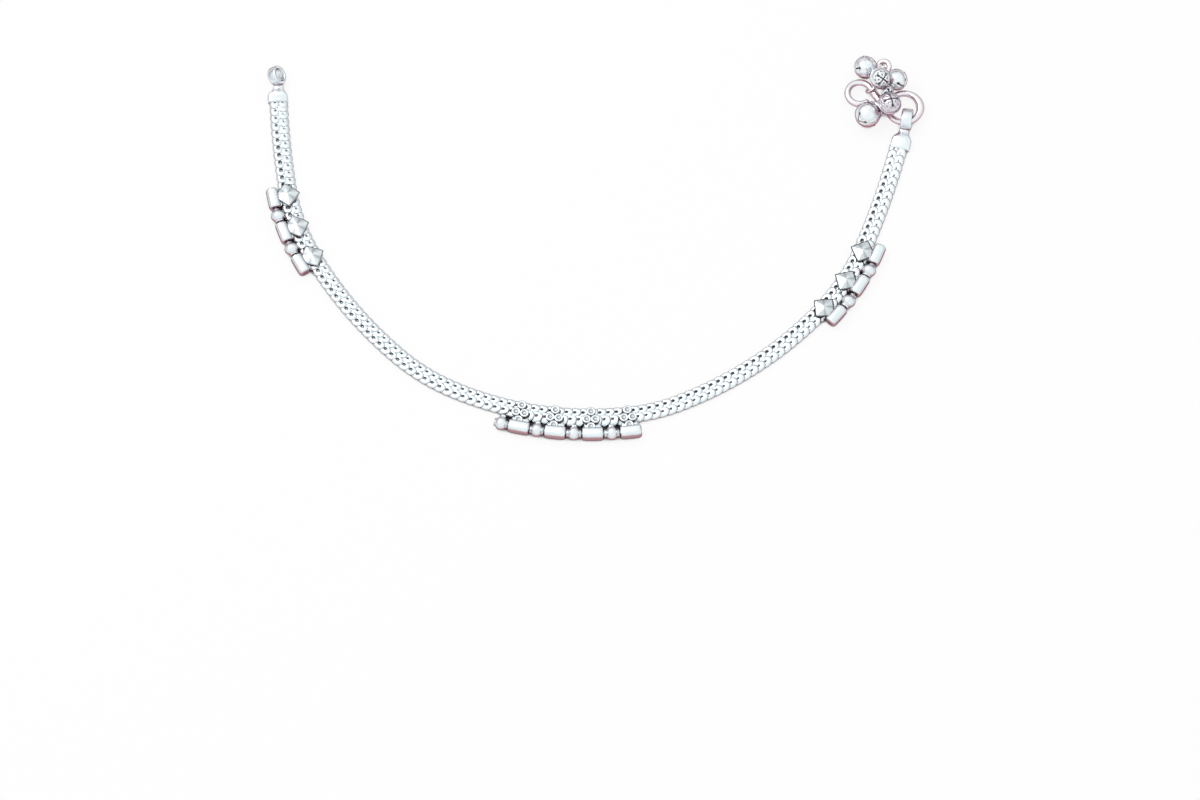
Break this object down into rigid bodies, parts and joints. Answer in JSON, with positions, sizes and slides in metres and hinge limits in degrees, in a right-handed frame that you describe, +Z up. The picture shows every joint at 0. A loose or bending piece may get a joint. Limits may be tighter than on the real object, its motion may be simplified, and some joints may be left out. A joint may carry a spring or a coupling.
{
  "type": "payal anklet",
  "caption": "Open silver payal anklet: flat woven chain with star and rosette ornaments, tube and round beads, end eyes, S hook and a cluster of small bells.",
  "frame": {"origin": "on the surface it lies on, under the middle of the bounding box of the open anklet", "axes": "+Z up from the surface, +Y towards the two free ends, +X towards the end with the S hook and bells"},
  "size_m": [0.1618, 0.1044, 0.0095],
  "materials": {
    "silver_chain": "woven, with dark oxidised gaps",
    "silver_fittings": "polished, with oxidised recesses",
    "silver_bells": "polished",
    "silver_wire": "polished"
  },
  "bodies": {
    "root": {"bell_1": "silver_bells", "bell_2": "silver_bells", "bell_3": "silver_bells", "bell_4": "silver_bells", "bell_5": "silver_bells", "centre_bead_1": "silver_fittings", "centre_bead_2": "silver_fittings", "centre_bead_3": "silver_fittings", "centre_bead_4": "silver_fittings", "centre_bead_wire": "silver_wire", "jump_ring_1": "silver_wire", "jump_ring_2": "silver_wire", "jump_ring_3": "silver_wire", "left_bead_1": "silver_fittings", "left_bead_2": "silver_fittings", "left_bead_wire": "silver_wire", "left_end_cap": "silver_fittings", "left_star_tube_1": "silver_fittings", "left_star_tube_2": "silver_fittings", "left_star_tube_3": "silver_fittings", "right_bead_1": "silver_fittings", "right_bead_2": "silver_fittings", "right_bead_wire": "silver_wire", "right_end_cap": "silver_fittings", "right_star_tube_1": "silver_fittings", "right_star_tube_2": "silver_fittings", "right_star_tube_3": "silver_fittings", "rosette_tube_1": "silver_fittings", "rosette_tube_2": "silver_fittings", "rosette_tube_3": "silver_fittings", "rosette_tube_4": "silver_fittings", "s_hook": "silver_wire", "woven_chain": "silver_chain"}
  },
  "joints": []
}
